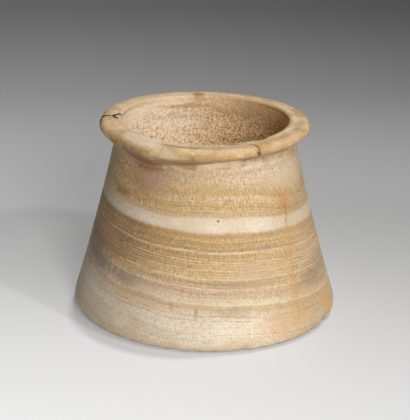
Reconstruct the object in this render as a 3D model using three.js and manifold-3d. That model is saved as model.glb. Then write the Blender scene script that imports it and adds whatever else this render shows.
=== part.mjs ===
// A squat vase carved from one block of banded calcite: a truncated cone that widens to its foot, a broad lip turned
// out level over the neck, and one wide hollow sunk from above. Made by hand, so nothing on it is quite round or level.
// Millimetres, +Z up. The origin is on the ground under the vase's axis, and angles are in degrees round the axis,
// from 0 at the front (-Y) to 90 on the right (+X).
import * as THREE from "three";
import Module from "manifold-3d";
import { mergeVertices } from "three/addons/utils/BufferGeometryUtils.js";

// Outside
const HEIGHT = 105; // from the ground to the lip's mean level
const FOOT_RADIUS = 73; // the widest ring, just above the ground
const FOOT_ROUND = 4; // radius of the worn edge of the foot
const SIDE_HOLLOW = 0.9; // how far the side is carved in from a straight cone, half way up

// Hollow
const MOUTH_RADIUS = 44.5;
const MOUTH_ROUND = 1.6; // radius of the edge between the hollow and the lip's top
const CAVITY_SPREAD = 5; // how much wider the hollow gets, down to the round of its floor
const CAVITY_ROUND = 12;
const FLOOR_THICKNESS = 13;
const NECK_WALL = 4; // the thinnest stone, right under the lip

// Lip
const LIP_OVERHANG = 8.2; // out from the neck
const LIP_TOP_ROUND = 4.2; // from the level top down to the widest ring
const LIP_UNDER_DEPTH = 6.5; // from the widest ring down the sloping underside to the neck
const LIP_UNDER_ROUND = 1.5; // radius of the edge between the widest ring and the underside
const NECK_COVE = 1.4; // hollow corner between the neck and the lip's underside

// The hand-made unevenness. Each ripple is [waves round the axis, height of the wave, angle of its first crest].
const FOOT_RIPPLES = [
  [1, 0.38, 93],
  [2, 0.25, 60],
  [3, 0.66, 47],
]; // on the foot's radius
const WEAR_RIPPLES = [[1, 1.1, 300]]; // on the round of the foot's edge
const MOUTH_RIPPLES = [
  [2, 0.25, 95],
  [3, 0.15, 10],
]; // on the mouth's radius
const LIP_RIPPLES = [
  [2, 0.14, 41],
  [3, 0.15, 22],
]; // on the lip's radius
const LEVEL_RIPPLES = [
  [1, 1.08, 217],
  [2, 0.53, 75],
]; // on the level of the lip's top
// Where the lip was left thicker or thinner than its own depth: [angle, share of the depth, half width in degrees]
const LIP_TOP_SWELLINGS = [
  [320, 0.28, 24],
  [50, -0.24, 34],
]; // above the widest ring
const LIP_UNDER_SWELLINGS = [
  [324, 0.42, 17],
  [300, 0.12, 20],
  [352, 0.1, 12],
  [20, -0.13, 22],
  [60, 0.16, 22],
  [150, 0.12, 40],
]; // below it

// Chips: [angle, width along the edge, depth into the stone, reach up from the edge]
const FOOT_CHIPS = [
  [52, 9, 1.6, 3.5],
  [62, 14, 2, 6],
  [22, 15, 1, 8],
  [331, 8, 1.1, 3],
  [322, 6, 0.9, 2.6],
  [195, 11, 1.4, 4.5],
];
const MOUTH_CHIPS = [[38, 10, 1.4, 1.6]];

const STEPS_ROUND = 96;
const STEPS = { footEdge: 5, side: 8, cove: 2, under: 1, noseUnder: 2, noseTop: 5, mouth: 3, cavitySide: 7, cavityRound: 5 };

const radians = THREE.MathUtils.degToRad;
const degrees = THREE.MathUtils.radToDeg;
const sum = (list) => list.reduce((total, value) => total + value, 0);
const ripple = (angle, waves) =>
  sum(waves.map(([count, size, crest]) => size * Math.cos(radians(count * (angle - crest)))));

function swelling(angle, swellings) {
  return sum(
    swellings.map(([middle, share, halfWidth]) => {
      const away = THREE.MathUtils.euclideanModulo(angle - middle + 180, 360) - 180;
      return share * Math.exp(-((away / halfWidth) ** 2));
    }),
  );
}

// The sizes that the carver's hand let vary, at one angle
function sizesAt(angle) {
  return {
    footRadius: FOOT_RADIUS + ripple(angle, FOOT_RIPPLES),
    footRound: FOOT_ROUND + ripple(angle, WEAR_RIPPLES),
    mouthRadius: MOUTH_RADIUS + ripple(angle, MOUTH_RIPPLES),
    neckRadius: MOUTH_RADIUS + NECK_WALL,
    lipRadius: MOUTH_RADIUS + NECK_WALL + LIP_OVERHANG + ripple(angle, LIP_RIPPLES),
    lipTop: HEIGHT + ripple(angle, LEVEL_RIPPLES),
    topRound: LIP_TOP_ROUND * (1 + swelling(angle, LIP_TOP_SWELLINGS)),
    underDepth: LIP_UNDER_DEPTH * (1 + swelling(angle, LIP_UNDER_SWELLINGS)),
  };
}

const point = (radius, height) => new THREE.Vector2(radius, height);
const line = (from, to, steps) => new THREE.LineCurve(from, to).getPoints(steps);
const last = (points) => points[points.length - 1];

// Part of an ellipse round a centre, between two directions in degrees above the horizontal
function arc(centre, across, up, from, to, steps) {
  const clockwise = to < from;
  return new THREE.EllipseCurve(centre.x, centre.y, across, up, radians(from), radians(to), clockwise).getPoints(steps);
}

// The outline of half a section, from the middle of the underside, up the outside, over the lip and down the hollow
// to the middle of its floor
function sectionAt(angle) {
  const { footRadius, footRound, mouthRadius, neckRadius, lipRadius, lipTop, topRound, underDepth } = sizesAt(angle);

  const noseHeight = lipTop - topRound;
  const slope = degrees(Math.atan2(underDepth - LIP_UNDER_ROUND, LIP_OVERHANG - LIP_UNDER_ROUND / 2));
  const underNose = point(lipRadius - LIP_UNDER_ROUND, noseHeight);
  const overNose = point(lipRadius - LIP_TOP_ROUND, noseHeight);
  const noseUnder = arc(underNose, LIP_UNDER_ROUND, LIP_UNDER_ROUND, slope - 90, 0, STEPS.noseUnder);
  const noseTop = arc(overNose, LIP_TOP_ROUND, topRound, 0, 90, STEPS.noseTop);

  const coveCentre = point(neckRadius + NECK_COVE, noseHeight - underDepth);
  const cove = arc(coveCentre, NECK_COVE, NECK_COVE, 180, 90 + slope, STEPS.cove);

  const neck = cove[0];
  const lean = Math.atan2(footRadius - neckRadius, neck.y - footRound);
  const footCentre = point(footRadius - footRound, footRound);
  const footEdge = arc(footCentre, footRound, footRound, -90, degrees(lean), STEPS.footEdge);
  const sideFoot = last(footEdge);
  const waist = point((sideFoot.x + neck.x) / 2 - 2 * SIDE_HOLLOW, (sideFoot.y + neck.y) / 2);
  const side = new THREE.QuadraticBezierCurve(sideFoot, waist, neck).getPoints(STEPS.side);

  const mouthCentre = point(mouthRadius + MOUTH_ROUND, lipTop - MOUTH_ROUND);
  const mouth = arc(mouthCentre, MOUTH_ROUND, MOUTH_ROUND, 90, 180, STEPS.mouth);

  const cavityCentre = point(MOUTH_RADIUS + CAVITY_SPREAD - CAVITY_ROUND, FLOOR_THICKNESS + CAVITY_ROUND);
  const cavityRound = arc(cavityCentre, CAVITY_ROUND, CAVITY_ROUND, 0, -90, STEPS.cavityRound);
  const throat = last(mouth);
  const plumb = point(throat.x, (throat.y + cavityCentre.y) / 2);
  const cavitySide = new THREE.QuadraticBezierCurve(throat, plumb, cavityRound[0]).getPoints(STEPS.cavitySide);

  return [
    point(0, 0),
    ...footEdge,
    ...side.slice(1),
    ...cove.slice(1),
    ...line(last(cove), noseUnder[0], STEPS.under).slice(1),
    ...noseUnder.slice(1),
    ...noseTop.slice(1),
    ...mouth,
    ...cavitySide.slice(1),
    ...cavityRound.slice(1),
    point(0, FLOOR_THICKNESS),
  ];
}

// A lathe's skin whose outline is drawn anew at each step round the axis
function unevenLathe() {
  const lathe = new THREE.LatheGeometry(sectionAt(0), STEPS_ROUND);
  const position = lathe.getAttribute("position");
  const perStep = position.count / (STEPS_ROUND + 1);
  for (let step = 0; step <= STEPS_ROUND; step += 1) {
    const angle = (360 * (step % STEPS_ROUND)) / STEPS_ROUND;
    const [across, along] = [Math.sin(radians(angle)), Math.cos(radians(angle))];
    sectionAt(angle).forEach(({ x, y }, i) => position.setXYZ(step * perStep + i, x * across, y, x * along));
  }
  return lathe.rotateX(Math.PI / 2);
}

// What a chip is the print of: a flattened ball with few faces, on an edge at one angle
function chipBall(angle, radius, height, width, depth, reach) {
  const ball = new THREE.IcosahedronGeometry(1, 1);
  ball.scale(width / 2, depth, reach);
  ball.translate(0, -radius, height);
  return ball.rotateZ(radians(angle));
}

function chipBalls() {
  const onFoot = FOOT_CHIPS.map(([angle, width, depth, reach]) =>
    chipBall(angle, sizesAt(angle).footRadius, 0, width, depth, reach),
  );
  const onMouth = MOUTH_CHIPS.map(([angle, width, depth, reach]) => {
    const { mouthRadius, lipTop } = sizesAt(angle);
    return chipBall(angle, mouthRadius, lipTop, width, MOUTH_ROUND + depth, reach);
  });
  return [...onFoot, ...onMouth];
}

const wasm = await Module();
wasm.setup();

function toSolid(geometry) {
  geometry.deleteAttribute("normal");
  geometry.deleteAttribute("uv");
  const merged = mergeVertices(geometry);
  return new wasm.Manifold(
    new wasm.Mesh({
      numProp: 3,
      vertProperties: new Float32Array(merged.getAttribute("position").array),
      triVerts: new Uint32Array(merged.getIndex().array),
    }),
  );
}

function toGeometry(solid) {
  const { vertProperties, numProp, triVerts } = solid.getMesh();
  const geometry = new THREE.BufferGeometry();
  geometry.setAttribute("position", new THREE.BufferAttribute(vertProperties, numProp));
  geometry.setIndex(new THREE.BufferAttribute(triVerts, 1));
  geometry.computeVertexNormals();
  return geometry;
}

function vase() {
  const carved = toSolid(unevenLathe());
  const worn = chipBalls().reduce((solid, ball) => solid.subtract(toSolid(ball)), carved);
  const calcite = new THREE.MeshStandardMaterial({ color: 0xd2b48c, roughness: 0.55, metalness: 0 });
  const mesh = new THREE.Mesh(toGeometry(worn), calcite);
  mesh.name = "vase";
  return mesh;
}

const part = new THREE.Group();
part.add(vase());

export default part;
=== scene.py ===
"""Looks of the calcite vase: its skin on a fine grid, the relief, the banded stone and a plain studio.

Lengths are millimetres until a mesh or an object is made. Angles round the axis start at the front (-Y)
and grow towards the right (+X).
"""

import math

import bpy
import numpy as np
from mathutils import Euler, Matrix, Vector, noise


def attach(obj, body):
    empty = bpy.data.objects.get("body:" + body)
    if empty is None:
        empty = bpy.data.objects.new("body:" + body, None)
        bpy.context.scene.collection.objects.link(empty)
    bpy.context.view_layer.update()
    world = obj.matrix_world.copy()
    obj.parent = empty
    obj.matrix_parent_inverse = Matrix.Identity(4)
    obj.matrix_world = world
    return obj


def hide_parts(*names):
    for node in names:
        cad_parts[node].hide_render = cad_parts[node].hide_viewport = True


MM = 0.001  # a millimetre in the frame's metres

# Camera
VIEW_HEIGHT = 20.73  # degrees above level
VIEW_DISTANCE = 598.2
VIEW_ROLL = 0.35  # degrees
AIM = (0.16, 0, 51.6)
LENS = 92.5
SENSOR_WIDTH = 36

# Skin: columns round the axis, closer together where the crack runs through the lip
COLUMNS = 380
CRACK_ANGLE = -88.5
CRACK_SECTOR = 6  # half width in degrees
CRACK_COLUMNS = 36

# Rows of the skin between two marks of a section, as pairs: a share of the way, and the rows up to there
ROW_RUNS = [
    ("middle", "foot", [(0.7, 2), (1, 3)]),
    ("foot", "corner", [(0.08, 12), (1, 84)]),
    ("corner", "nose", [(1, 22)]),
    ("nose", "throat", [(1, 32)]),
    ("throat", "floor", [(0.38, 36), (0.8, 16), (1, 10)]),
    ("floor", "end", [(1, 6)]),
]

# Where the marks of a section are looked for
ON_AXIS = 1e-6  # radius that counts as none
LEVEL = 0.02  # rise that counts as none
NOSE_REACH = 14  # the lip's widest ring is no further below the top
CORNER_REACH = 30  # nor is the corner of the neck and the lip's underside
THROAT_REACH = 12  # nor is the narrowest ring of the mouth
MARK_SMOOTHING = 2  # columns to either side over which a mark is evened out

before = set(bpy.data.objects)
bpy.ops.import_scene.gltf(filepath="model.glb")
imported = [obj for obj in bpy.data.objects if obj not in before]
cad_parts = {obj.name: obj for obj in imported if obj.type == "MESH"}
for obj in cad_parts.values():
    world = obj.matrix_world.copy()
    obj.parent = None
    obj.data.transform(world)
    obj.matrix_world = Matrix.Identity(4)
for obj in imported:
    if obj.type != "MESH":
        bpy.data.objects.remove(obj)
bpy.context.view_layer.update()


# Skin


def solid_of(node):
    """The corner points of a CAD node, each once, and its triangles."""
    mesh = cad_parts[node].data
    mesh.calc_loop_triangles()
    points = np.empty(len(mesh.vertices) * 3)
    mesh.vertices.foreach_get("co", points)
    corners = np.empty(len(mesh.loop_triangles) * 3, int)
    mesh.loop_triangles.foreach_get("vertices", corners)
    points, same = np.unique(np.round(points.reshape(-1, 3) / MM, 4), axis=0, return_inverse=True)
    return points, same.ravel()[corners].reshape(-1, 3)


def section(points, triangles, angle):
    """Half the solid's outline at an angle, as radius and height, from its underside to the hollow's floor.
    It starts and ends on the axis."""
    across = points[:, 0] * math.cos(angle) + points[:, 1] * math.sin(angle)
    radius = points[:, 0] * math.sin(angle) - points[:, 1] * math.cos(angle)
    side = across > 0
    links = {}
    for corners in triangles[side[triangles].sum(1) % 3 > 0].tolist():
        edges = [tuple(sorted((corners[i - 1], corners[i]))) for i in range(3)]
        cut = [edge for edge in edges if side[edge[0]] != side[edge[1]]]
        links.setdefault(cut[0], []).append(cut[1])
        links.setdefault(cut[1], []).append(cut[0])
    here = next(iter(links))
    chain = [here]
    came_from = None
    while True:
        there = links[here][0] if links[here][0] != came_from else links[here][1]
        if there == chain[0]:
            break
        chain.append(there)
        came_from, here = here, there
    a, b = np.array(chain).T
    t = across[a] / (across[a] - across[b])
    measures = np.column_stack([radius, points[:, 2]])
    loop = measures[a] + t[:, None] * (measures[b] - measures[a])
    out = loop[:, 0] > ON_AXIS
    loop = np.roll(loop, -int(np.flatnonzero(out & ~np.roll(out, 1))[0]), axis=0)
    half = loop[loop[:, 0] > ON_AXIS]
    if half[0, 1] > half[-1, 1]:
        half = half[::-1]
    return np.vstack([[0, half[0, 1]], half, [0, half[-1, 1]]])


def marks_of(outline):
    """How far along its outline each point of a section is, and where on it the same few marks are."""
    radius, height = outline.T
    along = np.concatenate([[0], np.cumsum(np.hypot(np.diff(radius), np.diff(height)))])
    top = height.max()
    order = np.arange(len(radius))
    high = height > top - NOSE_REACH
    nose = order[high][np.argmax(radius[high])]
    below = (order < nose) & (height > top - CORNER_REACH)
    corner = order[below][np.argmin(radius[below])]
    foot = np.flatnonzero(height[:corner] < LEVEL)[-1]
    beyond = (order > nose) & (height > top - THROAT_REACH)
    throat = order[beyond][np.argmin(radius[beyond])]
    floor = throat + np.flatnonzero(height[throat:] < height[-1] + LEVEL)[0]
    found = dict(middle=0, foot=foot, corner=corner, nose=nose, throat=throat, floor=floor, end=-1)
    return along, {name: along[i] for name, i in found.items()}


def column_angles():
    """Even steps round the axis, with more of them in the crack's sector, in degrees."""
    coarse = np.arange(COLUMNS) * 360 / COLUMNS - 180
    coarse = coarse[np.abs(coarse - CRACK_ANGLE) > CRACK_SECTOR]
    fine = np.linspace(CRACK_ANGLE - CRACK_SECTOR, CRACK_ANGLE + CRACK_SECTOR, CRACK_COLUMNS)
    return np.sort(np.concatenate([coarse, fine]))


def smooth_round(values, width):
    """A running mean over the columns, which close on themselves."""
    return sum(np.roll(values, shift, axis=0) for shift in range(-width, width + 1)) / (2 * width + 1)


def skin_grid():
    """The columns' angles, the skin's radius and height at each column and row, the rows at which the runs
    start, and the height of the hollow's floor."""
    points, triangles = solid_of("vase")
    angles = column_angles()
    outlines = [section(points, triangles, math.radians(a)) for a in angles]
    measured = [marks_of(outline) for outline in outlines]
    names = list(measured[0][1])
    marks = np.array([[found[name] for name in names] for _, found in measured])
    marks = smooth_round(marks, MARK_SMOOTHING)
    grid = np.empty((len(angles), 0, 2))
    starts = {}
    for first, last, parts in ROW_RUNS:
        starts[first] = grid.shape[1]
        shares, share = [], 0
        for until, rows in parts:
            shares.extend(share + (until - share) * np.arange(rows) / rows)
            share = until
        run = np.empty((len(angles), len(shares), 2))
        for i, (outline, (along, _)) in enumerate(zip(outlines, measured)):
            a, b = marks[i, names.index(first)], marks[i, names.index(last)]
            at = a + (b - a) * np.array(shares)
            run[i, :, 0] = np.interp(at, along, outline[:, 0])
            run[i, :, 1] = np.interp(at, along, outline[:, 1])
        grid = np.concatenate([grid, run], axis=1)
    starts["end"] = grid.shape[1]
    starts = {name: row - 1 for name, row in starts.items()}
    return np.radians(angles), grid[:, 1:], starts, outlines[0][-1, 1]


def skin_mesh(skin, floor_height):
    """The skin as one closed mesh: a grid of quads, with a fan at each end."""
    columns, rows, _ = skin.shape
    points = np.vstack([skin.reshape(-1, 3), [0, 0, 0], [0, 0, floor_height]])
    index = np.arange(columns * rows).reshape(columns, rows)
    after = np.roll(index, -1, axis=0)
    quads = np.stack([index[:, :-1], after[:, :-1], after[:, 1:], index[:, 1:]], axis=-1).reshape(-1, 4)
    under = np.stack([np.full(columns, len(points) - 2), after[:, 0], index[:, 0]], axis=-1)
    floor = np.stack([np.full(columns, len(points) - 1), index[:, -1], after[:, -1]], axis=-1)
    mesh = bpy.data.meshes.new("calcite_vase")
    mesh.from_pydata((points * MM).tolist(), [], quads.tolist() + under.tolist() + floor.tolist())
    mesh.shade_smooth()
    mesh.update()
    return mesh


# Relief, all of it into the stone, so that nothing stands out of the solid's box

HAND_WAVES = [(30, 0.16), (11, 0.07), (4.5, 0.035)]  # size of a wave and its depth
FOOT_WEAR = 0.8  # depth of the crumbled edge of the foot
FOOT_WEAR_HEIGHT = 7
FOOT_CRUMB = 2.4  # size of the pieces that broke off it
LIP_WEAR = 0.3
LIP_WEAR_ROWS = 7  # rows of the skin that are worn above and below the widest ring
LIP_CRUMB = 3.2
PECK_DEPTH = 0.28  # of the pecked surface of the hollow
PECK_SIZE = 1.9
PECK_GROUP = 4  # size of the groups that the pecks come in
GROOVE_PITCH = 2.7  # of the tool's rings round the hollow
GROOVE_DEPTH = 0.1
GROOVE_WANDER = 1.5  # how far a ring strays, in radians of its own wave
GROOVE_WAVE = 14  # size of the waves that it strays in
CRACK_WIDTH = 0.6  # half width of the split through the lip
CRACK_DEPTH = 1.3
CRACK_WAVES = [(0.9, 0.9), (0.5, 2.3)]  # degrees that the split strays, and how quickly along its way
# Rows of the skin, from a mark, over which the relief sets in
FOOT_ROWS = (-1, 3)
HOLLOW_ROWS = (-8, 2)
CRACK_ROWS = 12
# Pits in the side: angle, height, radius and depth
PITS = [
    (7.1, 66.2, 0.7, 0.5),
    (47.5, 60.3, 0.8, 0.5),
    (-3.6, 23.6, 1.3, 0.4),
    (-3.4, 20.8, 1.1, 0.45),
    (-3.2, 18.7, 1.0, 0.35),
    (-58, 74.1, 0.9, 0.4),
    (-54, 75.4, 0.9, 0.35),
    (-49, 76.3, 0.9, 0.4),
    (-31.3, 6.6, 1.8, 0.5),
    (-26.7, 4.6, 1.5, 0.5),
]


def hum(points, size, seed):
    """Smooth noise from -1 to 1 with waves of a size, at each point."""
    shift = Vector((seed * 17.3, seed * 5.1, seed * 11.7))
    return np.array([noise.noise(Vector(p) / size + shift) for p in points.tolist()])


def crumble(points, size, seed):
    """Sharp-edged noise from 0 to 1: mostly low, with broken-out hollows."""
    shift = Vector((seed * 13.9, seed * 7.7, seed * 3.1))
    cells = np.array([noise.cell(Vector(p) / size + shift) for p in points.tolist()])
    return np.clip(hum(points, size * 1.7, seed) * 1.6 + 0.25 * cells, 0, 1)


def points_of(angles, grid):
    across, along = np.sin(angles)[:, None], np.cos(angles)[:, None]
    return np.stack([grid[..., 0] * across, -grid[..., 0] * along, grid[..., 1]], axis=-1)


def normals_of(points):
    """Unit normals of the grid, pointing out of the stone."""
    round_axis = np.roll(points, -1, axis=0) - np.roll(points, 1, axis=0)
    along_rows = np.gradient(points, axis=1)
    normals = np.cross(round_axis, along_rows)
    return normals / np.linalg.norm(normals, axis=2, keepdims=True)


def fade(value, low, high):
    """0 below low, 1 above high and smooth between them, or the other way round if low is the higher."""
    t = np.clip((value - low) / (high - low), 0, 1)
    return t * t * (3 - 2 * t)


def crack_depth(angles_deg, points, on_lip):
    """How deep the split is that runs through the lip from its outer edge to the mouth."""
    path = CRACK_ANGLE + sum(size * np.sin(points[..., 0] * pace) for size, pace in CRACK_WAVES)
    away = np.abs(angles_deg[:, None] - path) * math.pi / 180 * np.hypot(points[..., 0], points[..., 1])
    return CRACK_DEPTH * fade(away, CRACK_WIDTH, 0) * on_lip


def relief(angles, grid, starts):
    """How far each point of the skin goes in, in millimetres."""
    points = points_of(angles, grid)
    flat = points.reshape(-1, 3)
    shape = points.shape[:2]
    waves = [deep * (0.5 + 0.5 * hum(flat, size, seed)) for seed, (size, deep) in enumerate(HAND_WAVES)]
    depth = sum(waves).reshape(shape)
    rows = np.arange(shape[1])
    height = grid[..., 1]
    foot = (rows >= starts["foot"]) & (rows < starts["corner"])
    hollow = fade(rows - starts["throat"], *HOLLOW_ROWS)
    edge = fade(height, FOOT_WEAR_HEIGHT, 0.5) * fade(rows - starts["foot"], *FOOT_ROWS)
    depth += FOOT_WEAR * crumble(flat, FOOT_CRUMB, 5).reshape(shape) * edge * foot
    nose = np.exp(-(((rows - starts["nose"]) / LIP_WEAR_ROWS) ** 2))
    depth += LIP_WEAR * crumble(flat, LIP_CRUMB, 7).reshape(shape) * nose
    wander = GROOVE_WANDER * hum(flat, GROOVE_WAVE, 9).reshape(shape)
    rings = 0.5 + 0.5 * np.sin(2 * math.pi * height / GROOVE_PITCH + wander)
    pecks = np.clip(hum(flat, PECK_SIZE, 11) + 0.4 * hum(flat, PECK_GROUP, 12), 0, 1).reshape(shape)
    depth += hollow * (GROOVE_DEPTH * rings + PECK_DEPTH * pecks)
    for angle, level, radius, deep in PITS:
        centre = on_side(angles, grid, starts, angle, level)
        depth += deep * fade(np.linalg.norm(points - centre, axis=2), radius, 0)
    lip = (rows > starts["corner"] + CRACK_ROWS) & (rows < starts["throat"])
    depth += crack_depth(np.degrees(angles), points, lip)
    return depth


def on_side(angles, grid, starts, angle, level):
    """The point of the outer side at an angle in degrees and a height."""
    column = int(np.argmin(np.abs(np.degrees(angles) - angle)))
    side = grid[column, starts["foot"] : starts["corner"]]
    order = np.argsort(side[:, 1])
    radius = np.interp(level, side[order, 1], side[order, 0])
    a = math.radians(angle)
    return np.array([radius * math.sin(a), -radius * math.cos(a), level])


angles, grid, starts, floor_height = skin_grid()
skin = points_of(angles, grid)
skin = skin - normals_of(skin) * relief(angles, grid, starts)[..., None]
skin[:, : starts["foot"], 2] = 0
vase = bpy.data.objects.new("calcite_vase", skin_mesh(skin, floor_height))
bpy.context.scene.collection.objects.link(vase)
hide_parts("vase")
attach(vase, "root")


# Stone: everything in the block is worked out from a place in it, in millimetres

STONE_HEIGHT = 110  # the strata's colours are named from the ground up to here

# Colours of dry stone in daylight, some of them also used below for painted shade and painted highlights,
# as red, green and blue from 0 to 255
WHITE = (236, 222, 200)
CREAM = (229, 211, 186)
PALE = (219, 196, 162)
SAND = (206, 176, 136)
HONEY = (203, 166, 107)
TAN = (194, 155, 95)
BROWN = (174, 138, 86)
UMBER = (140, 104, 70)
GREY = (142, 124, 100)
ROSE = (206, 176, 152)
OCHRE = (207, 156, 90)
RUST = (200, 132, 58)
AMBER = (178, 130, 82)
DIRT_AND_SHADE = (74, 52, 36)
SOOT = (38, 26, 18)
CHALK = (240, 230, 212)
IVORY = (252, 231, 198)
PEACH = (232, 200, 158)
PECK_AND_SHADE = (124, 82, 50)
FIRED = (150, 108, 62)
LIP_TOP = (200, 170, 130)
WHEAT = (230, 202, 153)
RUSSET = (166, 126, 96)
DUN = (214, 188, 156)
ASH = (176, 156, 138)

# The strata, by height on the vase's axis
STRATA = [
    (0, PALE),
    (7, CREAM),
    (14, WHITE),
    (18, CREAM),
    (22, PALE),
    (24.6, SAND),
    (25.6, CREAM),
    (28, PALE),
    (29.5, ROSE),
    (34, SAND),
    (36.3, HONEY),
    (37.2, SAND),
    (37.8, PALE),
    (38.5, HONEY),
    (50, TAN),
    (50.7, PALE),
    (51.4, BROWN),
    (57, TAN),
    (59.2, BROWN),
    (60, SAND),
    (60.7, CREAM),
    (63.5, WHITE),
    (67.6, CREAM),
    (68.5, SAND),
    (74, HONEY),
    (78.3, PALE),
    (79.2, HONEY),
    (81, SAND),
    (85, PALE),
    (92, CREAM),
    (100, SAND),
]
TILT = 0.045  # how much the strata fall from left to right, for each millimetre
BOW = 1.8e-5  # and how much steeper that gets towards the sides
# Sizes of the strata's waves, and how far each moves them
LONG_WAVE = (45, 45, 30)
LONG_SWELL = 3.2
SHORT_WAVE = (14, 14, 7)
SHORT_SWELL = 1.6
FINE_WAVE = 7
FINE_SWELL = 0.5
BAND_PINCH = 4  # how much lower the strata above the white band lie on the right, which thins the band
LEFT_PINCH = 2  # and on the left, short of its far edge
LIP_RISE = 0.0163  # how much the lip's top rises to the back, for each millimetre
LIP_FALL = 0.0123  # and falls to the right
HOLLOW_EDGE = (47, 46.2)  # radius at which the look of the hollow sets in, and is whole
HOLLOW_TOP = 90  # below this height that radius grows, as the wall gets thicker
HOLLOW_SPREAD = 0.16  # by this much for each millimetre

# Bright hairlines along the strata: height, half thickness and strength
HAIRLINES = [
    (39.4, 0.3, 0.35),
    (40.7, 0.3, 0.4),
    (42.1, 0.35, 0.7),
    (43.5, 0.3, 0.35),
    (44.9, 0.3, 0.5),
    (46.3, 0.35, 0.7),
    (47.8, 0.3, 0.3),
    (51, 0.4, 0.7),
    (53.2, 0.3, 0.35),
    (38.2, 0.5, 0.6),
    (71.2, 0.3, 0.3),
    (74.4, 0.3, 0.2),
    (25.4, 0.45, 0.6),
    (33.2, 0.4, 0.5),
    (56.2, 0.3, 0.3),
    (75.8, 0.35, 0.35),
    (72.6, 0.3, 0.3),
]
# Dark hairlines, in the same way
SEAMS = [
    (10.6, 0.35, 0.3),
    (17.4, 0.35, 0.4),
    (19.6, 0.4, 0.45),
    (23.2, 0.35, 0.35),
    (30.8, 0.3, 0.2),
    (52.1, 0.3, 0.35),
    (55.0, 0.3, 0.3),
    (70.2, 0.3, 0.3),
    (73.1, 0.3, 0.3),
]
# Stains on the side, some of them painted shade under the lip: angle, height, half width, half height,
# colour, strength
STAINS = [
    (48, 73, 5, 7, RUST, 0.5),
    (50, 66, 3, 5, OCHRE, 0.5),
    (68, 9, 9, 8, OCHRE, 0.75),
    (33, 11, 15, 8, OCHRE, 0.4),
    (45, 14, 9, 9, OCHRE, 0.3),
    (46, 50, 4, 14, OCHRE, 0.3),
    (44, 30, 4, 16, OCHRE, 0.3),
    (-14.7, 23.7, 1.8, 3, OCHRE, 0.7),
    (-3.5, 21.5, 1.5, 5, UMBER, 0.5),
    (7.1, 31.5, 3, 1.5, RUST, 0.35),
    (-54, 75, 9, 2.2, UMBER, 0.55),
    # The next three paint shade on the neck just under the lip, at the front and left; the first is partly
    # the stone's own pinkish brown
    (-36, 84, 17, 8, RUSSET, 0.5),
    (-36, 90.5, 15, 4.5, PECK_AND_SHADE, 0.75),
    (-10, 92.5, 10, 3, UMBER, 0.7),
    (8, 80.5, 13, 2.6, TAN, 0.5),
    (-72, 42, 18, 15, UMBER, 0.6),
    (-62, 36, 20, 8, GREY, 0.8),
    (-40, 33, 13, 5, GREY, 0.55),
    (72, 30, 20, 9, GREY, 0.4),
    (58, 27, 14, 5, GREY, 0.4),
    (-60, 44, 22, 5, UMBER, 0.35),
    (16, 34.5, 30, 3.5, GREY, 0.3),
    (7.1, 66.2, 0.95, 0.85, DIRT_AND_SHADE, 0.85),
    (47.5, 60.3, 1.1, 0.9, DIRT_AND_SHADE, 0.6),
    (-55, 50, 22, 12, UMBER, 0.3),
    (12, 21, 13, 3.5, GREY, 0.35),
    (25, 40, 16, 7, ROSE, 0.4),
    (60, 44, 14, 8, ROSE, 0.35),
    (-30, 84, 12, 7, ROSE, 0.4),
    (60, 84, 18, 8, PALE, 0.5),
    (-84, 86, 9, 12, SAND, 0.7),
    (-38, 12, 8, 6, CHALK, 0.3),
]
# Stains on the lip and in the mouth, with painted highlights on the lip's top and painted shade under it:
# place as three numbers, half width, half height, colour, strength
LIP_STAINS = [
    (-4, 47, 104, 5, 5, FIRED, 0.8),
    (-12, 43, 99.6, 22, 1.9, FIRED, 0.5),
    (-18, 40, 93, 20, 1.6, AMBER, 0.35),
    (28, 34, 97, 18, 8, FIRED, 0.25),
    (14, 42, 96, 16, 2.5, TAN, 0.6),
    (-20, 40, 90, 24, 4, CHALK, 0.45),
    (40, 18, 94, 16, 12, AMBER, 0.4),
    (-40, 14, 98, 20, 8, IVORY, 0.5),
    (26, -47, 104, 3.6, 3, RUST, 0.85),
    (47, -17, 104, 7, 3, GREY, 0.4),
    (52, -24, 101, 8, 4, OCHRE, 0.3),
    # The next three paint highlights on the lip's top, at the left and front left
    (-54, -16, 102.5, 15, 5, PEACH, 0.85),
    (-32, -42, 104, 16, 2.5, CREAM, 0.6),
    (-18, -54, 100.5, 9, 3, CREAM, 0.55),
    (-6, -56, 98, 2.2, 4.5, FIRED, 0.75),
    # The next four paint shade on the lip's underside and just below it, at the front
    (-40, -41, 97, 19, 6, UMBER, 0.9),
    (-34, -44, 95, 16, 3.6, PECK_AND_SHADE, 0.75),
    (-8, -51, 95, 9, 2.2, UMBER, 0.7),
    (24, -47, 96, 18, 1.8, UMBER, 0.5),
    (26.9, -49.6, 102, 1.9, 1.9, DIRT_AND_SHADE, 0.9),
]
# Dark lines in the lip as seen from above: points, half width, colour, strength
SPLITS = [
    ([(-58, -7), (-54.8, -1.4), (-49.4, -1.3), (-44, 3)], 1.6, SOOT, 1),
    ([(-50, -1.5), (-46.9, -6)], 1.2, SOOT, 1),
    ([(-20, -46), (-14.8, -49.5), (-8.4, -51.5), (-3, -52)], 0.8, UMBER, 0.9),
    ([(10, -46), (20, -44), (24, -45.5), (27, -49)], 0.9, DIRT_AND_SHADE, 0.75),
]
# Veins down the side: angle at the top, angle at the foot, both heights, half thickness, colour, strength
VEINS = [
    (48.5, 44, 63, 14, 1.0, BROWN, 0.28),
    (49.5, 47.5, 68, 60, 0.6, DIRT_AND_SHADE, 0.3),
    (-20.8, -14.7, 68, 22, 0.35, BROWN, 0.4),
    (-29.6, -28.4, 74, 68, 0.3, CHALK, 0.5),
]
RAGGED_EDGE = 1.2  # how far a stain's edge strays, as a share of its half width
VEIN_WANDER = 2.5  # how far a vein strays from its plane
SPLIT_WANDER = 0.5  # and a dark line in the lip from its points
FAR = 1000  # more than any two places in the block are apart

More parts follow.
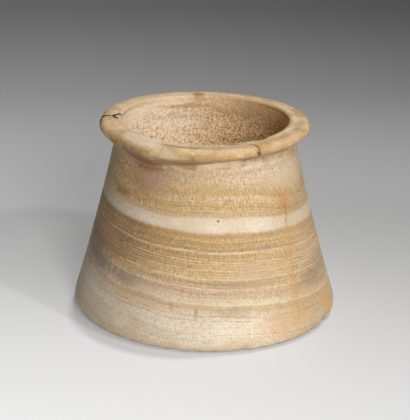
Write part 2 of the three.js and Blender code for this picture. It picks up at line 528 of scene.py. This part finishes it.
# Surface
ROUGHNESS = 0.5
ROUGHNESS_SPREAD = 0.35  # between the roughest and the smoothest spots
HOLLOW_ROUGHNESS = 0.2  # how much rougher the hollow is
REFRACTION = 1.5
SCATTER = 0.15  # share of the light that goes a little way through the stone
SCATTER_REACH = 0.8
SCATTER_COLOURS = (1.0, 0.6, 0.35)  # share of that way for red, green and blue
# Depth of the fine bumps that only the shading shows
GRAIN_BUMP = 0.14
LAMINA_BUMP = 0.05
MOTTLE_BUMP = 0.16
PIT_BUMP = 0.12
HOLLOW_BUMP = 0.5  # more of the mottle, in the hollow alone
PECK_BUMP = 0.08


class Field:
    """A number that varies from place to place: a node's output. Sums and products of it add nodes."""

    def __init__(self, socket):
        self.socket = socket

    def __add__(self, other):
        return calculate("ADD", self, other)

    def __sub__(self, other):
        return calculate("SUBTRACT", self, other)

    def __mul__(self, other):
        return calculate("MULTIPLY", self, other)

    def __truediv__(self, other):
        return calculate("DIVIDE", self, other)

    def __pow__(self, other):
        return calculate("POWER", self, other)

    __radd__ = __add__
    __rmul__ = __mul__

    def __rsub__(self, other):
        return calculate("SUBTRACT", other, self)


stone = bpy.data.materials.new("calcite")
stone.use_nodes = True
tree = stone.node_tree
shader = tree.nodes["Principled BSDF"]


def wire(socket, value):
    if isinstance(value, Field):
        tree.links.new(value.socket, socket)
    elif isinstance(value, bpy.types.NodeSocket):
        tree.links.new(value, socket)
    else:
        socket.default_value = value


def calculate(operation, *values):
    node = tree.nodes.new("ShaderNodeMath")
    node.operation = operation
    for socket, value in zip(node.inputs, values):
        wire(socket, value)
    return Field(node.outputs[0])


def smooth(value, low, high):
    """0 at low, 1 at high and smooth between them, or the other way round if low is the higher."""
    node = tree.nodes.new("ShaderNodeMapRange")
    node.interpolation_type = "SMOOTHSTEP"
    wire(node.inputs["Value"], value)
    node.inputs["From Min"].default_value = low
    node.inputs["From Max"].default_value = high
    return Field(node.outputs["Result"])


def linear(colour):
    """A colour given from 0 to 255, as a shader takes it."""
    shares = [c / 255 for c in colour]
    return (*[s / 12.92 if s <= 0.04045 else ((s + 0.055) / 1.055) ** 2.4 for s in shares], 1)


def blend(share, below, above):
    """One colour laid over another."""
    node = tree.nodes.new("ShaderNodeMix")
    node.data_type = "RGBA"
    wire(node.inputs["Factor"], share)
    wire(node.inputs["A"], below)
    wire(node.inputs["B"], linear(above) if isinstance(above, tuple) else above)
    return node.outputs["Result"]


def brighten(colour, factor):
    node = tree.nodes.new("ShaderNodeVectorMath")
    node.operation = "SCALE"
    wire(node.inputs[0], colour)
    wire(node.inputs["Scale"], factor)
    return node.outputs[0]


def millimetres():
    """The place in the object, as a point and as three numbers."""
    point = brighten(tree.nodes.new("ShaderNodeTexCoord").outputs["Object"], 1 / MM)
    axes = tree.nodes.new("ShaderNodeSeparateXYZ")
    wire(axes.inputs[0], point)
    return point, [Field(axes.outputs[i]) for i in range(3)]


place, (x, y, z) = millimetres()


def cloud(size, seed, detail=2, roughness=0.5, where=None):
    """Noise from 0 to 1 with waves of a size, which may differ along the three axes."""
    sizes = size if isinstance(size, tuple) else (size, size, size)
    stretch = tree.nodes.new("ShaderNodeVectorMath")
    stretch.operation = "MULTIPLY_ADD"
    wire(stretch.inputs[0], where or place)
    stretch.inputs[1].default_value = [1 / s for s in sizes]
    stretch.inputs[2].default_value = (seed * 7.3, seed * 3.9, seed * 5.7)
    node = tree.nodes.new("ShaderNodeTexNoise")
    tree.links.new(stretch.outputs[0], node.inputs["Vector"])
    node.inputs["Scale"].default_value = 1
    node.inputs["Detail"].default_value = detail
    node.inputs["Roughness"].default_value = roughness
    return Field(node.outputs["Fac"])


def along_strata(length, fineness):
    """A place at which noise lies in sheets along the strata: so long, and so many to a millimetre."""
    node = tree.nodes.new("ShaderNodeCombineXYZ")
    for socket, value in zip(node.inputs, (x / length, y / length, level * fineness)):
        wire(socket, value)
    return node.outputs[0]


def stripe(height, half):
    """1 on a stratum at a height, 0 beyond half its thickness."""
    return smooth(calculate("ABSOLUTE", level - height), half, half * 0.2)


def side_point(angle, height):
    return on_side(angles, grid, starts, angle, height)


def patch(cx, cy, cz, half_width, half_height):
    """1 in the middle of a ragged patch that lies along the strata, 0 outside it."""
    flat = ((x - cx) ** 2 + (y - cy) ** 2) / half_width**2
    own_level = cz + cx * TILT + cx**3 * BOW
    away = calculate("SQRT", flat + (level - own_level) ** 2 / half_height**2)
    return smooth(away + (ragged - 0.5) * RAGGED_EDGE, 1.1, 0.25)


def away_from(points):
    """How far a place is, seen from above, from the line through points."""
    nearest = FAR
    for (ax, ay), (bx, by) in zip(points, points[1:]):
        dx, dy = bx - ax, by - ay
        share = ((x - ax) * dx + (y - ay) * dy) / (dx * dx + dy * dy)
        share = calculate("MINIMUM", calculate("MAXIMUM", share, 0.0), 1.0)
        away = calculate("SQRT", (x - ax - share * dx) ** 2 + (y - ay - share * dy) ** 2)
        nearest = calculate("MINIMUM", away, nearest)
    return nearest


def vein(top_angle, foot_angle, top, foot, half):
    """1 on a thin plane that runs down the side, 0 beyond half its thickness."""
    a, b = side_point(top_angle, top), side_point(foot_angle, foot)
    along = b - a
    out = np.array([(a + b)[0], (a + b)[1], 0])
    across = np.cross(along, out)
    across /= np.linalg.norm(across)
    away = x * across[0] + y * across[1] + z * across[2] + (shiver - 0.5) * VEIN_WANDER - float(a @ across)
    facing = smooth(x * out[0] + y * out[1], 0, 100)
    reach = smooth(z, foot - 5, foot + 2) * smooth(z, top + 3, top - 2)
    return smooth(calculate("ABSOLUTE", away), half, half * 0.15) * reach * facing


# Where the strata lie, with their waves
shiver = cloud(FINE_WAVE, 3)
ragged = cloud(2.6, 8, detail=3)
swell = (cloud(LONG_WAVE, 1) - 0.5) * LONG_SWELL + (cloud(SHORT_WAVE, 2) - 0.5) * SHORT_SWELL
swell = swell + (shiver - 0.5) * FINE_SWELL
pinch = smooth(x, 18, 54) * smooth(z, 61, 67)
left_pinch = smooth(x, -60, -42) * smooth(x, -4, -20) * smooth(z, 62, 68) * smooth(z, 88, 74)
level = z + x * TILT + (x * x * x) * BOW + swell + pinch * BAND_PINCH + left_pinch * LEFT_PINCH

ramp = tree.nodes.new("ShaderNodeValToRGB")
stops = ramp.color_ramp.elements
for (height, colour), stop in zip(STRATA[:2], stops):
    stop.position = height / STONE_HEIGHT
    stop.color = linear(colour)
for height, colour in STRATA[2:]:
    stops.new(height / STONE_HEIGHT).color = linear(colour)
wire(ramp.inputs["Fac"], level / STONE_HEIGHT)
colour = ramp.outputs["Color"]

# The hollow, the brown strata and those above the white band
radius = calculate("SQRT", x * x + y * y)
wall_growth = calculate("MAXIMUM", HOLLOW_TOP - z, 0.0) * HOLLOW_SPREAD
inside = smooth(radius - wall_growth, *HOLLOW_EDGE) * smooth(z, 8, 10)
brown_zone = smooth(level, 27, 33) * smooth(level, 60, 57)
upper_zone = smooth(level, 69, 72)

# The lip: brown below and pale on its top, which leans a little; partly the stone's colour and partly
# painted light, the top lit and the face below shaded
rim_height = z - y * LIP_RISE + x * LIP_FALL
lip_below = smooth(rim_height, 89, 93) * smooth(radius, 49, 51)
lip_top = smooth(rim_height, 101.5, 104.2)
on_lip = smooth(rim_height, 89, 93) * smooth(radius, 45, 46.5)
colour = blend(lip_below * 0.8, colour, TAN)
colour = blend(lip_top * 0.85, colour, LIP_TOP)
# Painted highlight: a cream strip along the inner edge of the lip's top
colour = blend(lip_top * smooth(radius, 51.5, 48) * 0.6, colour, CREAM)

# Broad tints on the sides: umber and ash on the left, dun, tan and honey on the right
front = smooth(y, 30, 0)
front_half = smooth(y, 40, 10)
far_right = smooth(x, 26, 58) * front_half
middle_zone = smooth(level, 25, 30) * smooth(level, 61, 58)
umber_side = middle_zone * smooth(level, 34, 40) * smooth(x, -14, -46) * front
umber_band = smooth(level, 58, 61) * smooth(level, 70, 67) * smooth(x, -22, -52) * front_half
colour = blend(middle_zone * far_right * 0.25, colour, BROWN)
colour = blend(middle_zone * smooth(x, 8, 44) * front * 0.35, colour, DUN)
colour = blend(umber_side * 0.8, colour, UMBER)
colour = blend(smooth(level, 38, 30) * smooth(x, -8, -48) * front * 0.3, colour, ASH)
colour = blend(smooth(level, 26, 18) * smooth(x, 30, 62) * front * 0.4, colour, TAN)
colour = blend(smooth(x, 24, 62) * front_half * smooth(z, 92, 75) * 0.4, colour, HONEY)
colour = brighten(colour, 1 - far_right * smooth(z, 92, 70) * 0.17)
colour = blend(smooth(level, 69, 74) * smooth(z, 96, 90) * smooth(x, 34, 6) * 0.45, colour, TAN)
colour = blend(umber_band * 0.4, colour, UMBER)

# Fine laminae, quieter in the white band and on the lip
laminae = cloud(1.0, 4, detail=3, roughness=0.6, where=along_strata(60, 1.15))
threads = cloud(1.0, 15, detail=2, where=along_strata(40, 2.4))
in_band = smooth(level, 60, 61) * smooth(level, 68.5, 67.5)
off_lip = 1 - on_lip
off_band = 1 - in_band * 0.7
thread_share = (0.2 + brown_zone * 0.6) * off_band * off_lip
lamina_share = (0.35 + brown_zone * 0.9) * (1 - in_band * 0.8) * (1 - on_lip * 0.7)
colour = brighten(colour, 1 + (threads - 0.5) * thread_share)
colour = brighten(colour, 1 + (laminae - 0.5) * lamina_share)

# Fibres that stand across the strata, and the crystals' grain
fibre = cloud((0.7, 0.7, 5), 6, detail=3, roughness=0.65)
grain = cloud(0.7, 7, detail=3, roughness=0.75)
mottle = cloud(2.2, 9, detail=4, roughness=0.6)
broad = cloud((22, 22, 12), 10)
fibrous = 0.25 + brown_zone * 0.6 + upper_zone * 0.75
speckle = cloud(1.1, 14, detail=2, roughness=0.6)
colour = brighten(colour, 1 + (fibre - 0.5) * 0.7 * fibrous)
colour = brighten(colour, 1 + (grain - 0.5) * 0.7 * (1 - on_lip * 0.6))
colour = blend(smooth(fibre, 0.5, 0.7) * 0.5 * fibrous * off_lip, colour, WHEAT)
colour = blend(smooth(fibre, 0.5, 0.32) * 0.4 * fibrous * off_lip, colour, UMBER)
grainy = 1 - on_lip * 0.6 - in_band * 0.5
speckled = (0.2 + upper_zone * 0.15) * off_band * off_lip
colour = blend(smooth(grain, 0.54, 0.7) * 0.35 * grainy, colour, WHEAT)
colour = blend(smooth(grain, 0.47, 0.32) * 0.3 * grainy, colour, UMBER)
colour = blend(smooth(speckle, 0.55, 0.66) * speckled, colour, UMBER)
colour = blend(smooth(speckle, 0.44, 0.32) * 0.2, colour, CHALK)
colour = blend(smooth(mottle, 0.54, 0.7) * 0.35 * (1 - in_band * 0.6), colour, BROWN)
colour = blend(smooth(broad, 0.42, 0.66) * 0.3, colour, HONEY)

# Hairlines, broken off here and there, and the darker neck on the left
broken = smooth(cloud((9, 9, 3), 5), 0.36, 0.52)
for height, half, strength in HAIRLINES:
    colour = blend(stripe(height, half) * strength * broken, colour, CREAM)
for height, half, strength in SEAMS:
    colour = blend(stripe(height, half) * strength * broken, colour, UMBER)
shaded_neck = smooth(level, 70, 74) * smooth(z, 94, 88) * smooth(x, -14, -34) * smooth(y, 10, -5)
colour = blend(shaded_neck * 0.15, colour, BROWN)
colour = blend(shaded_neck * smooth(speckle + mottle, 0.95, 1.15) * 0.35, colour, UMBER)

# The pecked hollow: pale crystals and brown dirt between them
pecked = smooth(speckle * 0.65 + grain * 0.35, 0.5, 0.6)
depth_in = smooth(z, 102, 92)
# Paler on the left, where the key light falls in, and browner to the right, where it is shaded: partly the
# stone's colour and partly painted light and shade
browner = smooth(x, -16, 40)
wall = blend(smooth(x, -30, 10), linear(IVORY), PEACH)
wall = blend(browner * 0.3, wall, HONEY)
wall = blend(smooth(mottle, 0.48, 0.64) * (0.1 + depth_in * 0.4), wall, AMBER)
wall = blend(pecked * (0.2 + depth_in * (0.4 + browner * 0.4)), wall, PECK_AND_SHADE)
wall = blend(smooth(speckle, 0.44, 0.32) * 0.7, wall, IVORY)
colour = blend(inside * 0.92, colour, wall)
# Painted shade: the mouth's round edge, which catches the key light, is darkened with brown all round but
# at the very front
shaded_mouth_edge = smooth(radius, 44, 45) * smooth(radius, 47.6, 46.4) * lip_top * smooth(y, -46, -26)
colour = blend(shaded_mouth_edge * 0.6, colour, BROWN)

# Stains, painted shade under the lip, splits and veins
for angle, height, half_width, half_height, stain, strength in STAINS:
    colour = blend(patch(*side_point(angle, height), half_width, half_height) * strength, colour, stain)
# Painted shade: the lip's underside darkened with umber
shade_under_lip = smooth(rim_height, 100.2, 96.5) * smooth(rim_height, 88, 91) * smooth(radius, 49, 50.5)
colour = blend(shade_under_lip * 0.7, colour, UMBER)
glassy = cloud((8, 8, 4), 16, detail=3, roughness=0.6)
colour = blend(on_lip * (1 - inside) * smooth(glassy, 0.5, 0.62) * 0.5, colour, BROWN)
colour = blend(on_lip * (1 - inside) * smooth(glassy, 0.47, 0.35) * 0.5, colour, PEACH)
for *spot, stain, strength in LIP_STAINS:
    colour = blend(patch(*spot) * strength, colour, stain)
outside_mouth = smooth(rim_height, 94, 97) * smooth(radius, 45, 45.6)
for points, half, shade, strength in SPLITS:
    gap = smooth(away_from(points) + (shiver - 0.5) * SPLIT_WANDER, half, half * 0.3)
    colour = blend(gap * outside_mouth * strength, colour, shade)
for top_angle, foot_angle, top, foot, half, vein_colour, strength in VEINS:
    colour = blend(vein(top_angle, foot_angle, top, foot, half) * strength, colour, vein_colour)

# Painted shade along the bottom of the foot, where it meets the floor, and dirt in small pits
# Painted shade: a dark band round the bottom of the foot, in the dark brown also used for dirt
colour = blend(smooth(z + (ragged - 0.5) * 2, 1.8, 0.2) * smooth(radius, 66, 68) * 0.75, colour, DIRT_AND_SHADE)
pit_dirt = smooth(cloud(1.1, 12, detail=2), 0.66, 0.74)
colour = blend(pit_dirt * 0.3 * off_band, colour, DIRT_AND_SHADE)

wire(shader.inputs["Base Color"], colour)
roughness = ROUGHNESS + (mottle - 0.5) * ROUGHNESS_SPREAD + inside * HOLLOW_ROUGHNESS
wire(shader.inputs["Roughness"], roughness)
shader.inputs["IOR"].default_value = REFRACTION
shader.inputs["Subsurface Weight"].default_value = SCATTER
shader.inputs["Subsurface Radius"].default_value = SCATTER_COLOURS
shader.inputs["Subsurface Scale"].default_value = SCATTER_REACH * MM

bumps = (grain - 0.5) * GRAIN_BUMP + (laminae - 0.5) * LAMINA_BUMP + (mottle - 0.5) * MOTTLE_BUMP
bumps = bumps - pit_dirt * PIT_BUMP + inside * ((mottle - 0.5) * HOLLOW_BUMP - pecked * PECK_BUMP)
bump = tree.nodes.new("ShaderNodeBump")
bump.inputs["Distance"].default_value = MM
bump.inputs["Strength"].default_value = 1
wire(bump.inputs["Height"], bumps)
tree.links.new(bump.outputs["Normal"], shader.inputs["Normal"])
vase.data.materials.append(stone)


# Studio

FLOOR_SIZE = 4000
SWEEP_START = 1500  # behind the vase, where the floor starts to curve up
SWEEP_RADIUS = 500
SWEEP_STEPS = 24
SWEEP_HEIGHT = 1500
# The paper: distance behind the vase, its grey there, darker to the back as painted light falloff, and its
# glow
PAPER = [
    (-250, 0.5, 0.47),
    (-60, 0.47, 0.24),
    (110, 0.4, 0.03),
    (220, 0.43, 0.08),
    (450, 0.28, 0.03),
    (900, 0.2, 0.012),
]
# Painted shade: the paper darkens to the right
PAPER_SLANT = 0.0009  # how much the paper darkens to the right, for each millimetre
GLOW_EDGE = (260, 150)  # how far out the glow ends and is whole
GLOW_SPREAD = 0.25  # and how much wider it gets, for each millimetre behind the vase
PAPER_ROUGHNESS = 0.8
WORLD_LIGHT = 0.005


def paper_ramp(which):
    """The paper's grey (1) or its glow (2), by distance behind the vase."""
    near, far = PAPER[0][0], PAPER[-1][0]
    ramp = tree.nodes.new("ShaderNodeValToRGB")
    ramp.color_ramp.interpolation = "B_SPLINE"
    steps = ramp.color_ramp.elements
    for step in PAPER[1:-1]:
        steps.new((step[0] - near) / (far - near))
    for element, step in zip(steps, PAPER):
        element.color = (step[which], step[which], step[which], 1)
    wire(ramp.inputs["Fac"], (paper_y - near) / (far - near))
    return ramp.outputs["Color"]


paper = bpy.data.materials.new("paper")
paper.use_nodes = True
tree = paper.node_tree
sheet = tree.nodes["Principled BSDF"]
paper_x, paper_y, _ = millimetres()[1]
slant = 1 - calculate("MINIMUM", paper_x * PAPER_SLANT, 0.5)
glow_x = calculate("ABSOLUTE", paper_x) - calculate("MAXIMUM", paper_y, 0.0) * GLOW_SPREAD
wire(sheet.inputs["Base Color"], brighten(paper_ramp(1), slant))
wire(sheet.inputs["Emission Color"], brighten(paper_ramp(2), slant * smooth(glow_x, *GLOW_EDGE)))
sheet.inputs["Emission Strength"].default_value = 1
sheet.inputs["Roughness"].default_value = PAPER_ROUGHNESS


def sweep():
    """A pale floor that curves up into its backdrop."""
    profile = [(-FLOOR_SIZE / 2, 0)]
    for a in np.radians(np.linspace(0, 90, SWEEP_STEPS + 1)):
        profile.append((SWEEP_START + SWEEP_RADIUS * math.sin(a), SWEEP_RADIUS * (1 - math.cos(a))))
    profile.append((SWEEP_START + SWEEP_RADIUS, SWEEP_HEIGHT))
    points = [(x, y, z) for y, z in profile for x in (-FLOOR_SIZE / 2, FLOOR_SIZE / 2)]
    faces = [(2 * i, 2 * i + 1, 2 * i + 3, 2 * i + 2) for i in range(len(profile) - 1)]
    mesh = bpy.data.meshes.new("floor")
    mesh.from_pydata([[c * MM for c in p] for p in points], [], faces)
    mesh.shade_smooth()
    floor = bpy.data.objects.new("floor", mesh)
    mesh.materials.append(paper)
    bpy.context.scene.collection.objects.link(floor)


def softbox(name, azimuth, height, distance, size, power):
    """A round area light that looks at the vase: where from in degrees, size across, power in watts."""
    lamp = bpy.data.lights.new(name, "AREA")
    lamp.shape = "DISK"
    lamp.size = size * MM
    lamp.energy = power
    light = bpy.data.objects.new(name, lamp)
    a, e = math.radians(azimuth), math.radians(height)
    back = Vector((math.sin(a) * math.cos(e), -math.cos(a) * math.cos(e), math.sin(e)))
    light.location = (Vector(AIM) + back * distance) * MM
    light.rotation_euler = (-back).to_track_quat("-Z", "Y").to_euler()
    bpy.context.scene.collection.objects.link(light)


def camera():
    seen = bpy.data.cameras.new("camera")
    seen.lens = LENS
    seen.sensor_width = SENSOR_WIDTH
    eye = bpy.data.objects.new("camera", seen)
    e = math.radians(VIEW_HEIGHT)
    back = Vector((0, -math.cos(e), math.sin(e)))
    eye.location = (Vector(AIM) + back * VIEW_DISTANCE) * MM
    tilt = Euler((math.radians(90 - VIEW_HEIGHT), 0, 0)).to_matrix().to_4x4()
    eye.rotation_euler = (tilt @ Matrix.Rotation(math.radians(VIEW_ROLL), 4, "Z")).to_euler()
    bpy.context.scene.collection.objects.link(eye)
    bpy.context.scene.camera = eye


sweep()
softbox("key", azimuth=56, height=39, distance=1400, size=130, power=5.2)
softbox("front", azimuth=17, height=24, distance=1600, size=500, power=14.2)
softbox("top", azimuth=40, height=62, distance=1400, size=500, power=2.5)
softbox("above", azimuth=140, height=79, distance=1400, size=80, power=8.6)
world = bpy.data.worlds.new("studio")
world.use_nodes = True
background = world.node_tree.nodes["Background"]
background.inputs["Color"].default_value = (1, 1, 1, 1)
background.inputs["Strength"].default_value = WORLD_LIGHT
bpy.context.scene.world = world
bpy.context.scene.view_settings.view_transform = "Standard"
camera()
